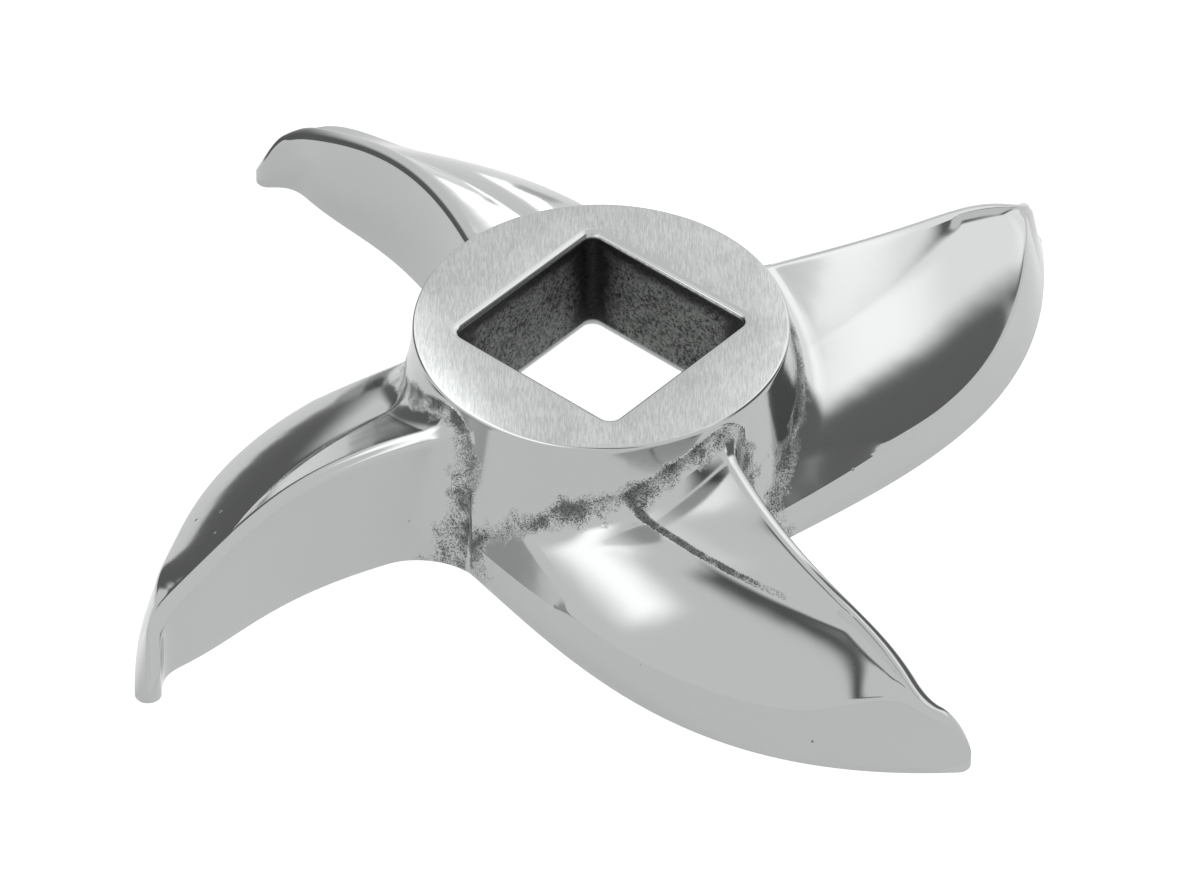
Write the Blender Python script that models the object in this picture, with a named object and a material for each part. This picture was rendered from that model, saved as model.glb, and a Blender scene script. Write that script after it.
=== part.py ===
"""Meat grinder knife: one stainless casting with four curved blades round a square drive bore.

The knife rests on its ground cutting faces at Z = 0 and turns about Z, which runs up the middle of its bore.
The hub's ground face looks up, and the flats of the bore run along X and Y. Each blade sweeps round
anticlockwise, seen from above: it has an upright wall on its hollow side, a rounded crest over that wall,
and a slope that falls to a leaning band on its full side.
"""

import math

import bmesh
import bpy
from mathutils import Matrix, Vector

MM = 0.001

# Hub
HUB_RADIUS = 16.2 * MM
KNIFE_HEIGHT = 15.6 * MM
HUB_FLARE = 2.2 * MM
HUB_FLARE_POWER = 1.5
HUB_EDGE = 0.3 * MM

# Square drive bore, and the wider pocket under it
BORE_WIDTH = 17.9 * MM
BORE_CORNER = 1.0 * MM
BORE_LIP = 0.6 * MM
BORE_FOOT = 0.4 * MM
POCKET_WIDTH = 30.0 * MM
POCKET_CORNER = 3.0 * MM
POCKET_DEPTH = 5.0 * MM
POCKET_DRAFT = 0.5 * MM

# Blade outline at the cutting face; angles and headings are measured from the blade's own X axis
BLADE_COUNT = 4
BLADE_TURN = math.radians(41.15)
SWING_RADIUS = 49.6 * MM
TIP_RADIUS = 1.15 * MM
TIP_ANGLE = math.radians(38.1)
TIP_HEADING = math.radians(93.5)
EDGE_ROOT_ANGLE = math.radians(-36.7)
EDGE_ROOT_HEADING = math.radians(36.4)
EDGE_ROOT_REACH = 17.3 * MM
EDGE_TIP_REACH = 21.3 * MM
WALL_ROOT_ANGLE = math.radians(42.5)
WALL_ROOT_HEADING = math.radians(19.3)
WALL_ROOT_REACH = 16.9 * MM
WALL_END_REACH = 7.8 * MM
CLAW_LENGTH = 5.4 * MM
CLAW_ANGLE = math.radians(36.7)
CLAW_HEADING = math.radians(37.1)
CLAW_REACH = 1.6 * MM

# Blade section
CREST_DROP = 2.7 * MM
CREST_RADIUS = 1.0 * MM
CREST_RADIUS_SHARE = 0.35
CREST_SHOULDER = math.radians(30.0)
CREST_SET_IN_SHARE = 0.15
CREST_CURL = 2.3
CREST_ROUND = 0.53
TIP_HEIGHT = 1.0 * MM
NOSE_LENGTH = 2.6 * MM
NOSE_DROP_SHARE = 0.6
BAND_HEIGHT = 4.8 * MM
BAND_WAIST_HEIGHT = 4.5 * MM
BAND_LEAN_ROOT = math.radians(4.0)
BAND_LEAN_TIP = math.radians(28.0)
FACET_REACH = 11.1 * MM
FACET_REACH_END = 1.5 * MM
FACET_DROP = 4.5 * MM
FACET_DROP_END = 1.1 * MM
FACET_DROP_SHARE = 0.6
FACET_FADE = 1.1
SLOPE_BULGE = 0.45 * MM
BAND_INSET_SHARE = 0.7

# Fillets where the blade grows out of the hub
FILLET = 2.2 * MM
WEB_FILLET = 4.2 * MM
BAND_FILLET = 0.3 * MM

# Where features start and end along a blade, as shares of its length
FACET_END_SHARE = 0.6
BAND_LEAN_START_SHARE = 0.3
BAND_LEAN_END_SHARE = 0.8
BAND_WAIST_SHARE = 0.6
BAND_RISE_START_SHARE = 0.6
BAND_RISE_END_SHARE = 0.87
CLAW_START_SHARE = 0.83
TIP_START_SHARE = 0.95
ROOT_BLEND_SHARE = 0.6

# How finely each form is divided
WALL_ROWS = 5
CREST_ROWS = 4
FACET_ROWS = 3
SLOPE_ROWS = 6
FILLET_STEPS = 5
BLADE_STEPS = 18
CLAW_STEPS = 4
TIP_STEPS = 4
WEB_STEPS = 3
HUB_STEPS = 3
CORNER_STEPS = 4

WELD = 0.00003
STEEL_COLOUR = (0.56, 0.57, 0.57, 1.0)
STEEL_ROUGHNESS = 0.12


def polar(radius, angle):
    """A point in plan."""
    return Vector((radius * math.cos(angle), radius * math.sin(angle)))


def heading(angle):
    """A direction in plan."""
    return polar(1.0, angle)


def mix(a, b, share):
    return a + (b - a) * share


def ease(share):
    """Goes from 0 to 1 with a flat start and a flat end."""
    share = min(max(share, 0.0), 1.0)
    return share * share * (3.0 - 2.0 * share)


def bezier(points, share):
    a, b, c, d = points
    rest = 1.0 - share
    return a * rest ** 3 + b * (3.0 * rest * rest * share) + c * (3.0 * rest * share * share) + d * share ** 3


TIP_CENTRE = polar(SWING_RADIUS - TIP_RADIUS, TIP_ANGLE)
TIP_AHEAD = heading(TIP_HEADING)
TIP_SIDE = heading(TIP_HEADING - math.pi / 2.0)
EDGE_ROOT = polar(HUB_RADIUS + HUB_FLARE, EDGE_ROOT_ANGLE)
EDGE_END = TIP_CENTRE + TIP_SIDE * TIP_RADIUS
WALL_ROOT = polar(HUB_RADIUS, WALL_ROOT_ANGLE)
CLAW_ROOT = polar(SWING_RADIUS - CLAW_LENGTH, CLAW_ANGLE)
WALL_END = TIP_CENTRE - TIP_SIDE * TIP_RADIUS

EDGE_CURVE = (
    EDGE_ROOT,
    EDGE_ROOT + heading(EDGE_ROOT_HEADING) * EDGE_ROOT_REACH,
    EDGE_END - TIP_AHEAD * EDGE_TIP_REACH,
    EDGE_END,
)
WALL_CURVE = (
    WALL_ROOT,
    WALL_ROOT + heading(WALL_ROOT_HEADING) * WALL_ROOT_REACH,
    CLAW_ROOT - heading(CLAW_HEADING) * WALL_END_REACH,
    CLAW_ROOT,
)
CLAW_CURVE = (
    CLAW_ROOT,
    CLAW_ROOT + heading(CLAW_HEADING) * CLAW_REACH,
    WALL_END - TIP_AHEAD * CLAW_REACH,
    WALL_END,
)


def tip_turn(along):
    """How far a point has gone round the tip's rounded end, up to a right angle."""
    return math.pi / 2.0 * max(along - TIP_START_SHARE, 0.0) / (1.0 - TIP_START_SHARE)


def edge_point(along):
    """The blade's full side at the cutting face, from root to tip."""
    if along <= TIP_START_SHARE:
        return bezier(EDGE_CURVE, along / TIP_START_SHARE)
    turn = tip_turn(along)
    return TIP_CENTRE + (TIP_SIDE * math.cos(turn) + TIP_AHEAD * math.sin(turn)) * TIP_RADIUS


def wall_point(along):
    """The blade's hollow side, from root to tip."""
    if along <= CLAW_START_SHARE:
        return bezier(WALL_CURVE, along / CLAW_START_SHARE)
    if along <= TIP_START_SHARE:
        return bezier(CLAW_CURVE, (along - CLAW_START_SHARE) / (TIP_START_SHARE - CLAW_START_SHARE))
    turn = tip_turn(along)
    return TIP_CENTRE + (TIP_AHEAD * math.sin(turn) - TIP_SIDE * math.cos(turn)) * TIP_RADIUS


def hub_side(height):
    """Radius of the hub's cast side, which flares towards the foot."""
    share = min(max(1.0 - height / KNIFE_HEIGHT, 0.0), 1.0)
    return HUB_RADIUS + HUB_FLARE * share ** HUB_FLARE_POWER


def top_height(radius):
    """The blade's height seen from the side: nearly level from the hub, then curling down at the tip."""
    share = (radius - HUB_RADIUS) / (SWING_RADIUS - HUB_RADIUS)
    share = min(max(share, 0.0), 1.0)
    return mix(TIP_HEIGHT, KNIFE_HEIGHT - CREST_DROP, (1.0 - share ** CREST_CURL) ** CREST_ROUND)


def crest_radius(along):
    """How far out the crest lies."""
    return wall_point(along).lerp(edge_point(along), CREST_SET_IN_SHARE).length


def section(along):
    """The blade's section as (distance from the wall, height), from the wall's foot to the edge's foot."""
    width = (edge_point(along) - wall_point(along)).length
    crest = top_height(crest_radius(along))
    radius = min(CREST_RADIUS, width * CREST_RADIUS_SHARE)
    low_band = mix(BAND_HEIGHT, BAND_WAIST_HEIGHT, ease(along / BAND_WAIST_SHARE))
    rise = ease((along - BAND_RISE_START_SHARE) / (BAND_RISE_END_SHARE - BAND_RISE_START_SHARE)) ** 2
    band = min(mix(low_band, crest - radius / 2.0, rise), crest - radius / 2.0)
    leaning = ease((along - BAND_LEAN_START_SHARE) / (BAND_LEAN_END_SHARE - BAND_LEAN_START_SHARE))
    lean = mix(BAND_LEAN_ROOT, BAND_LEAN_TIP, leaning)
    inset = min(low_band * math.tan(lean), (width - radius) * BAND_INSET_SHARE)
    fade = max(1.0 - along / FACET_END_SHARE, 0.0) ** FACET_FADE
    reach = min(mix(FACET_REACH_END, FACET_REACH, fade), mix(radius, width - inset, 0.5))
    drop = min(mix(FACET_DROP_END, FACET_DROP, fade), (crest - band) * FACET_DROP_SHARE)
    past_top = radius * (1.0 + math.sin(CREST_SHOULDER))
    shoulder_drop = radius * (1.0 - math.cos(CREST_SHOULDER))
    shoulder = Vector((min(past_top, mix(radius, reach, 0.5)), crest - shoulder_drop))
    fold = Vector((reach, crest - drop))
    crease = Vector((width - inset, band))
    bulge = SLOPE_BULGE * min((crease.x - fold.x) / FACET_REACH, 1.0)
    points = []
    for row in range(WALL_ROWS):
        points.append(Vector((0.0, (crest - radius) * row / WALL_ROWS)))
    for row in range(CREST_ROWS):
        turn = math.pi / 2.0 * row / CREST_ROWS
        points.append(Vector((radius * (1.0 - math.cos(turn)), crest - radius * (1.0 - math.sin(turn)))))
    points.append(Vector((radius, crest)))
    for row in range(FACET_ROWS):
        points.append(shoulder.lerp(fold, row / FACET_ROWS))
    for row in range(SLOPE_ROWS):
        share = row / SLOPE_ROWS
        point = fold.lerp(crease, share)
        point.y += bulge * 4.0 * share * (1.0 - share)
        points.append(point)
    for row in range(WALL_ROWS + 1):
        points.append(crease.lerp(Vector((width, 0.0)), row / WALL_ROWS))
    return points


ROW_COUNT = WALL_ROWS + CREST_ROWS + 1 + FACET_ROWS + SLOPE_ROWS + WALL_ROWS + 1
WALL_TOP_ROW = WALL_ROWS
CREASE_ROW = ROW_COUNT - 1 - WALL_ROWS


def row_point(row, along):
    """Where one row of the blade's surface lies, before the fillet at its root."""
    wall = wall_point(along)
    edge = edge_point(along)
    across = edge - wall
    across = across.normalized() if across.length > WELD else TIP_SIDE
    reach, height = section(along)[row]
    plan = wall + across * reach
    nose = ease((along - CLAW_START_SHARE) / (TIP_START_SHARE - CLAW_START_SHARE))
    height *= mix(1.0, top_height(plan.length) / top_height(crest_radius(along)), nose)
    ahead = max((plan - TIP_CENTRE).dot(TIP_AHEAD) - TIP_RADIUS + NOSE_LENGTH, 0.0) / NOSE_LENGTH
    height *= 1.0 - NOSE_DROP_SHARE * ahead * ahead * nose
    return Vector((plan.x, plan.y, height))


def row_normal(row, along):
    """The way out of the metal at a row, square to the blade's length."""
    points = section(along)
    before = points[max(row - 1, 0)]
    after = points[min(row + 1, ROW_COUNT - 1)]
    run = after - before
    across = (edge_point(along) - wall_point(along)).normalized()
    normal = Vector((across.x * -run.y, across.y * -run.y, run.x))
    return normal.normalized()


def row_fillet(row):
    """Reach and height of the fillet at a row's root."""
    if row <= WALL_TOP_ROW:
        size = mix(WEB_FILLET, FILLET, row / WALL_TOP_ROW)
        return size, size
    if row < CREASE_ROW - SLOPE_ROWS // 2:
        return FILLET, FILLET
    share = min((row - CREASE_ROW + SLOPE_ROWS // 2) / (SLOPE_ROWS // 2), 1.0)
    return FILLET, mix(FILLET, BAND_FILLET, share)


def first_outside(row, radius_of, start):
    """The share of the blade's length at which a row passes a radius."""
    low = start
    if row_point(row, low).xy.length >= radius_of(row_point(row, low).z):
        return low
    high = ROOT_BLEND_SHARE
    for _ in range(40):
        middle = (low + high) / 2.0
        point = row_point(row, middle)
        if point.xy.length < radius_of(point.z):
            low = middle
        else:
            high = middle
    return high


def filleted(row, along, grow):
    """A row's point raised out of the metal: sideways round the hub, and up."""
    point = row_point(row, along)
    normal = row_normal(row, along)
    radius = point.xy.length
    sideways = (normal.y * point.x - normal.x * point.y) / radius * grow
    plan = polar(radius, math.atan2(point.y, point.x) + sideways / radius)
    level = point.z + normal.z * grow if 0 < row < ROW_COUNT - 1 else 0.0
    return Vector((plan.x, plan.y, level))


def blade_row(row):
    """One row's points, from the hub, through the fillet and out to the tip."""
    reach, height = row_fillet(row)
    start = first_outside(row, hub_side, 0.0)
    point = row_point(row, start)
    start_radius = point.xy.length
    points = []
    along = start
    for step in range(FILLET_STEPS):
        turn = math.pi / 2.0 * (1.0 - step / FILLET_STEPS)
        radius = start_radius + reach * (1.0 - math.sin(turn))
        along = first_outside(row, lambda z: radius, along)
        points.append(filleted(row, along, height * (1.0 - math.cos(turn))))
    root = first_outside(row, lambda z: start_radius + reach, along)
    shares = [TIP_START_SHARE * step / BLADE_STEPS for step in range(BLADE_STEPS)]
    shares = [share for share in shares if share < CLAW_START_SHARE]
    shares += [mix(CLAW_START_SHARE, TIP_START_SHARE, step / CLAW_STEPS) for step in range(CLAW_STEPS)]
    shares += [mix(TIP_START_SHARE, 1.0, step / TIP_STEPS) for step in range(TIP_STEPS + 1)]
    for share in shares:
        along = share + root * max(1.0 - share / ROOT_BLEND_SHARE, 0.0)
        points.append(row_point(row, along))
    return points


def in_polar(point):
    return Vector((point.xy.length, math.atan2(point.y, point.x), point.z))


def from_polar(values):
    plan = polar(values.x, values.y)
    return Vector((plan.x, plan.y, values.z))


def turned(point, turns):
    """A point moved round to another blade."""
    return Matrix.Rotation(turns * 2.0 * math.pi / BLADE_COUNT, 3, "Z") @ point


def hub_line(foot):
    """From the hub's rim down its side to a point where a blade or a web takes over."""
    radius, angle, height = in_polar(foot)
    spare = radius - hub_side(height)
    top = KNIFE_HEIGHT - HUB_EDGE
    points = [from_polar(Vector((HUB_RADIUS - HUB_EDGE, angle, KNIFE_HEIGHT)))]
    for step in range(HUB_STEPS):
        share = step / HUB_STEPS
        level = mix(top, height, share)
        points.append(from_polar(Vector((hub_side(level) + spare * share * share, angle, level))))
    return points


def add_strip(mesh, rows):
    """Joins neighbouring rows of points with faces; each row has as many points as the next."""
    grid = [[mesh.verts.new(point) for point in row] for row in rows]
    for one, two in zip(grid, grid[1:]):
        for index in range(len(one) - 1):
            mesh.faces.new((one[index], one[index + 1], two[index + 1], two[index]))


def build_casting():
    """The solid casting: four blades, the webs between them and the hub, before the bore is cut."""
    mesh = bmesh.new()
    rows = [blade_row(row) for row in range(ROW_COUNT)]
    web_start = [rows[row][0] for row in range(WALL_TOP_ROW + 1)]
    web_end = [turned(rows[ROW_COUNT - 1 - row][0], 1) for row in range(WALL_ROWS + 1)]
    web = []
    for step in range(WEB_STEPS + 1):
        share = step / WEB_STEPS
        web.append([from_polar(in_polar(a).lerp(in_polar(b), share)) for a, b in zip(web_start, web_end)])
    feet = [column[-1] for column in web[:0:-1]]
    feet += [row[0] for row in rows[WALL_TOP_ROW:CREASE_ROW + 1]]
    for turn in range(BLADE_COUNT):
        add_strip(mesh, [[turned(point, turn) for point in row] for row in rows])
        add_strip(mesh, [[turned(point, turn) for point in column] for column in web])
        add_strip(mesh, [[turned(point, turn) for point in hub_line(foot) + [foot]] for foot in feet])
    bmesh.ops.remove_doubles(mesh, verts=mesh.verts, dist=WELD)
    bmesh.ops.dissolve_degenerate(mesh, edges=mesh.edges, dist=WELD)
    rim = [edge for edge in mesh.edges if edge.is_boundary]
    bmesh.ops.holes_fill(mesh, edges=rim, sides=0)
    bmesh.ops.recalc_face_normals(mesh, faces=mesh.faces)
    bmesh.ops.rotate(mesh, verts=mesh.verts, matrix=Matrix.Rotation(BLADE_TURN, 3, "Z"))
    return mesh


def rounded_square(width, corner, height):
    """A square outline with rounded corners, at one height."""
    half = width / 2.0
    points = []
    for quarter in range(4):
        for step in range(CORNER_STEPS + 1):
            turn = math.pi / 2.0 * (quarter + step / CORNER_STEPS)
            centre = heading(math.pi / 4.0 + quarter * math.pi / 2.0) * (half - corner) * math.sqrt(2.0)
            plan = centre + polar(corner, turn)
            points.append(Vector((plan.x, plan.y, height)))
    return points


def build_cutter():
    """The bore with its rounded lip, and the pocket under it, as one stack of rounded squares."""
    spare = 1.0 * MM
    wide = POCKET_WIDTH + 2.0 * POCKET_DRAFT
    levels = [rounded_square(wide, POCKET_CORNER, -spare)]
    levels.append(rounded_square(POCKET_WIDTH, POCKET_CORNER, POCKET_DEPTH - BORE_FOOT))
    levels.append(rounded_square(POCKET_WIDTH - 2.0 * BORE_FOOT, POCKET_CORNER - BORE_FOOT, POCKET_DEPTH))
    levels.append(rounded_square(BORE_WIDTH + 2.0 * BORE_FOOT, BORE_CORNER + BORE_FOOT, POCKET_DEPTH))
    levels.append(rounded_square(BORE_WIDTH, BORE_CORNER, POCKET_DEPTH + BORE_FOOT))
    for step in range(CORNER_STEPS + 1):
        turn = math.pi / 2.0 * step / CORNER_STEPS
        grow = BORE_LIP * (1.0 - math.cos(turn))
        level = KNIFE_HEIGHT - BORE_LIP * (1.0 - math.sin(turn))
        levels.append(rounded_square(BORE_WIDTH + 2.0 * grow, BORE_CORNER + grow, level))
    levels.append(rounded_square(BORE_WIDTH + 2.0 * BORE_LIP, BORE_CORNER + BORE_LIP, KNIFE_HEIGHT + spare))
    mesh = bmesh.new()
    add_strip(mesh, [level + level[:1] for level in levels])
    bmesh.ops.remove_doubles(mesh, verts=mesh.verts, dist=WELD)
    bmesh.ops.holes_fill(mesh, edges=[edge for edge in mesh.edges if edge.is_boundary], sides=0)
    bmesh.ops.recalc_face_normals(mesh, faces=mesh.faces)
    return mesh


def add_object(name, mesh, collection):
    data = bpy.data.meshes.new(name)
    mesh.to_mesh(data)
    mesh.free()
    data.shade_smooth()
    data.set_sharp_from_angle(angle=math.radians(25.0))
    item = bpy.data.objects.new(name, data)
    collection.objects.link(item)
    return item


def steel():
    material = bpy.data.materials.new("cast_stainless_steel")
    material.use_nodes = True
    shader = material.node_tree.nodes["Principled BSDF"]
    shader.inputs["Base Color"].default_value = STEEL_COLOUR
    shader.inputs["Metallic"].default_value = 1.0
    shader.inputs["Roughness"].default_value = STEEL_ROUGHNESS
    return material


def main():
    for item in list(bpy.data.objects):
        bpy.data.objects.remove(item, do_unlink=True)
    parts = bpy.data.collections.new("meat_grinder_knife")
    cutters = bpy.data.collections.new("cutters")
    for collection in (parts, cutters):
        bpy.context.scene.collection.children.link(collection)

    knife = add_object("knife", build_casting(), parts)
    knife.data.materials.append(steel())
    cutter = add_object("bore_cutter", build_cutter(), cutters)
    cutter.hide_render = True
    cutter.display_type = "WIRE"
    cut = knife.modifiers.new("bore", "BOOLEAN")
    cut.operation = "DIFFERENCE"
    cut.solver = "EXACT"
    cut.object = cutter


main()
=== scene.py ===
"""Looks of the meat grinder knife, in a plain studio.

The casting is one closed mesh: polished blades and hub, ground faces, and a bore left as it came out
of the mould.
"""

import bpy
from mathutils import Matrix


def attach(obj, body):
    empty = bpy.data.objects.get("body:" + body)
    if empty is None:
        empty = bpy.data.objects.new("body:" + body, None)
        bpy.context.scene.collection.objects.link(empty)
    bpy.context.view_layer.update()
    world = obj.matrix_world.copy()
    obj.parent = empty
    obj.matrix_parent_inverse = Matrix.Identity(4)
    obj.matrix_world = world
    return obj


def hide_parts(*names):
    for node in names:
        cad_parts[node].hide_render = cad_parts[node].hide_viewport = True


bl_info = {
    "name": "Meat Grinder Knife",
    "version": (1, 0, 0),
    "blender": (4, 5, 0),
    "location": "View3D > Sidebar > Grinder Knife",
    "description": "Builds a cast, polished meat grinder knife and the plain studio it is shown in",
    "category": "Add Mesh",
}

import math

import bmesh
import bpy
from bpy.props import FloatProperty, FloatVectorProperty, PointerProperty
from mathutils import Matrix, Quaternion, Vector

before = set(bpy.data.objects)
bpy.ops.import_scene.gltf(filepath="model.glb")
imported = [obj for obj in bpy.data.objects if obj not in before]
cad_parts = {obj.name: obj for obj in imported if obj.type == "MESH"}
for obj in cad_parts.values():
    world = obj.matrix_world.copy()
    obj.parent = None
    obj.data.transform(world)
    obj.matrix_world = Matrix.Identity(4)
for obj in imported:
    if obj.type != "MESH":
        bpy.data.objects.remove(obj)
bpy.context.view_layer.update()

MM = 0.001
BLADE_COUNT = 4

# How finely each form of the casting is divided
WALL_ROWS = 14
CREST_ROWS = 12
FACET_ROWS = 9
FOLD_ROWS = 6
SLOPE_ROWS = 18
CREASE_ROWS = 5
BAND_ROWS = WALL_ROWS - CREASE_ROWS
FILLET_STEPS = 12
BLADE_STEPS = 64
CLAW_STEPS = 20
TIP_STEPS = 12
WEB_STEPS = 14
HUB_STEPS = 14
RIM_STEPS = 4
CORNER_STEPS = 8
BORE_LIP_STEPS = 6
BORE_STEPS = 6
BORE_FOOT_STEPS = 4
# Blades with pits left in the fold, counted anticlockwise
PITTED_BLADES = (2, 3)
# Rows along the middle of the fold that hold those pits, and how marked they are near the hub
PITTED_ROWS = 3
FOLD_PITTING = 1.15
# Radius where the pits in the fold start to thin out, and how much further out the last of them are
FOLD_PIT_START = 0.027
FOLD_PIT_FADE = 0.011
# Share of the hub's side, from the top, that is free of pits
HUB_PIT_START = 0.55
# How far pits thin out in the middle of a web
WEB_PIT_DIP = 0.5

WALL_TOP_ROW = WALL_ROWS
CREST_ROW = WALL_TOP_ROW + CREST_ROWS
FOLD_ROW = CREST_ROW + FACET_ROWS
SLOPE_ROW = FOLD_ROW + FOLD_ROWS
CREASE_ROW = SLOPE_ROW + SLOPE_ROWS
BAND_ROW = CREASE_ROW + CREASE_ROWS
ROW_COUNT = BAND_ROW + BAND_ROWS + 1

# Points closer than this are one point
WELD = 0.000002
# Faces that meet at more than this many degrees keep a hard edge
SHARP_ANGLE = 34.0
# The casting's materials, by their place in its mesh's list
POLISHED, GROUND, CAST = range(3)


def linear(code):
    """An sRGB hex colour as the linear values that Blender's colours hold."""
    channels = [int(code[index:index + 2], 16) / 255.0 for index in (1, 3, 5)]
    return [value / 12.92 if value <= 0.04045 else ((value + 0.055) / 1.055) ** 2.4 for value in channels]


# Settings that a user would change


def length(name, description, millimetres):
    default = millimetres * MM
    return FloatProperty(name=name, description=description, default=default, min=0.0, unit="LENGTH")


def turn(name, description, degrees):
    default = math.radians(degrees)
    return FloatProperty(name=name, description=description, default=default, subtype="ANGLE")


def share(name, description, value):
    return FloatProperty(
        name=name, description=description, default=value, min=0.0, max=1.0, subtype="FACTOR"
    )


def colour(name, description, code):
    default = linear(code)
    return FloatVectorProperty(name=name, description=description, default=default, subtype="COLOR", size=3)


class KnifeShapeSettings(bpy.types.PropertyGroup):
    """Sizes of the casting."""

    hub_radius: length("Hub radius", "Radius of the hub's ground face", 16.2)
    height: length("Height", "From the cutting faces to the hub's ground face", 15.6)
    hub_flare: length("Hub flare", "How much wider the hub's side is at its foot", 2.2)
    hub_flare_power: FloatProperty(
        name="Hub flare power", description="How late the hub's side flares", default=1.5
    )
    hub_edge: length("Hub edge", "Rounding of the hub's rim", 0.25)
    bore_width: length("Bore width", "Across the flats of the square bore", 17.9)
    bore_corner: length("Bore corner", "Radius of the bore's corners", 1.0)
    bore_lip: length("Bore lip", "Rounding of the bore's upper edge", 0.6)
    bore_foot: length("Bore foot", "Rounding of the bore's lower edge", 0.4)
    pocket_width: length("Pocket width", "Across the square pocket under the bore", 30.0)
    pocket_corner: length("Pocket corner", "Radius of the pocket's corners", 3.0)
    pocket_depth: length("Pocket depth", "From the cutting faces up to the pocket's ceiling", 5.0)
    pocket_draft: length("Pocket draft", "How much the pocket widens towards its mouth", 0.5)
    blade_turn: turn("Blade turn", "Where the first blade stands round the hub", 41.15)
    swing_radius: length("Swing radius", "Radius that the blade tips sweep", 49.6)
    tip_radius: length("Tip radius", "Rounding of a blade's tip in plan", 1.15)
    tip_angle: turn("Tip angle", "Where the tip stands, from the blade's own X axis", 38.1)
    tip_heading: turn("Tip heading", "Which way the tip points", 93.5)
    edge_root_angle: turn("Edge root angle", "Where the full side leaves the hub", -36.7)
    edge_root_heading: turn("Edge root heading", "Which way the full side leaves the hub", 36.4)
    edge_root_reach: length("Edge root reach", "How far the full side keeps that heading", 17.3)
    edge_tip_reach: length("Edge tip reach", "How far the full side keeps the tip's heading", 21.3)
    wall_root_angle: turn("Wall root angle", "Where the hollow side leaves the hub", 42.5)
    wall_root_heading: turn("Wall root heading", "Which way the hollow side leaves the hub", 19.3)
    wall_root_reach: length("Wall root reach", "How far the hollow side keeps that heading", 16.9)
    wall_end_reach: length("Wall end reach", "How far the hollow side keeps the claw's heading", 7.8)
    claw_length: length("Claw length", "Length of the hooked end in from the swing radius", 5.4)
    claw_angle: turn("Claw angle", "Where the hooked end starts", 36.7)
    claw_heading: turn("Claw heading", "Which way the hollow side runs into the hook", 37.1)
    claw_reach: length("Claw reach", "How tightly the hook turns", 1.6)
    crest_drop: length("Crest drop", "From the hub's ground face down to a blade's crest at the hub", 2.7)
    crest_radius: length("Crest radius", "Rounding of the crest over the wall", 1.0)
    crest_shoulder: turn("Crest shoulder", "How far the crest's rounding runs past its top", 30.0)
    crest_set_in: share("Crest set in", "Where across the blade the crest's curl is measured", 0.15)
    crest_curl: FloatProperty(name="Crest curl", description="How late the crest curls down", default=2.3)
    crest_round: FloatProperty(name="Crest round", description="How round the curled end is", default=0.53)
    tip_height: length("Tip height", "Height of the tip itself", 1.0)
    nose_length: length("Nose length", "Length of the rounded nose at the tip, seen from the side", 2.6)
    band_height: length("Band height", "Height of the band under the slope, at the hub", 4.8)
    band_waist_height: length("Band waist height", "Height of the band where it is lowest", 4.5)
    band_lean_root: turn("Band lean at root", "How far the band leans in at the hub", 4.0)
    band_lean_tip: turn("Band lean at tip", "How far the band leans in near the tip", 28.0)
    facet_reach: length("Facet reach", "Width of the upper facet at the hub", 11.1)
    facet_reach_end: length("Facet reach end", "Width of the upper facet where it dies out", 1.5)
    facet_drop: length("Facet drop", "How far the upper facet falls at the hub", 4.5)
    facet_drop_end: length("Facet drop end", "How far the upper facet falls where it dies out", 1.1)
    fold_round: length("Fold rounding", "Rounding of the valley between facet and slope", 0.9)
    slope_bulge: length("Slope bulge", "How full the broad slope is", 0.45)
    crease_round: length("Crease rounding", "Rounding of the edge between slope and band", 0.35)
    scoop_down: length("Scoop down", "How far the dressed flat at the root cuts into the band", 1.2)
    scoop_up: length("Scoop up", "How far the dressed flat at the root cuts into the slope", 3.2)
    fillet: length("Fillet", "Fillet between a blade and the hub", 2.2)
    web_fillet: length("Web fillet", "Fillet between the wall's foot and the hub", 4.2)
    band_fillet: length("Band fillet", "Fillet at the band's foot", 0.3)


class KnifeFinishSettings(bpy.types.PropertyGroup):
    """Colours and finish of the steel."""

    polished: colour("Polished steel", "The polished casting", "#B9BBBA")
    ground: colour("Ground steel", "The hub's face and the cutting faces", "#BFC2C0")
    cast: colour("Cast skin", "The bore's as-cast walls", "#8E908E")
    polish_roughness: share("Polish roughness", "How far the polish is from a mirror", 0.12)


class KnifeStageSettings(bpy.types.PropertyGroup):
    """The studio."""

    floor: colour("Floor", "Plain pale floor", "#FFFFFF")
    camera_height: turn("Camera elevation", "How far the camera looks down", 41.26)
    camera_roll: turn("Camera roll", "How far the camera leans to its left", 0.15)
    camera_distance: length("Camera distance", "From the hub's face to the camera", 798.0)


# Form of the casting


def polar(radius, angle):
    """A point in plan."""
    return Vector((radius * math.cos(angle), radius * math.sin(angle)))


def heading(angle):
    """A direction in plan."""
    return polar(1.0, angle)


def mix(a, b, part):
    return a + (b - a) * part


def ease(part):
    """Goes from 0 to 1 with a flat start and a flat end."""
    part = min(max(part, 0.0), 1.0)
    return part * part * (3.0 - 2.0 * part)


def bezier(points, part):
    a, b, c, d = points
    rest = 1.0 - part
    return a * rest ** 3 + b * (3.0 * rest * rest * part) + c * (3.0 * rest * part * part) + d * part ** 3


def corner(a, b, c, part):
    """A curve that rounds the corner b between a and c."""
    rest = 1.0 - part
    return a * (rest * rest) + b * (2.0 * rest * part) + c * (part * part)


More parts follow.
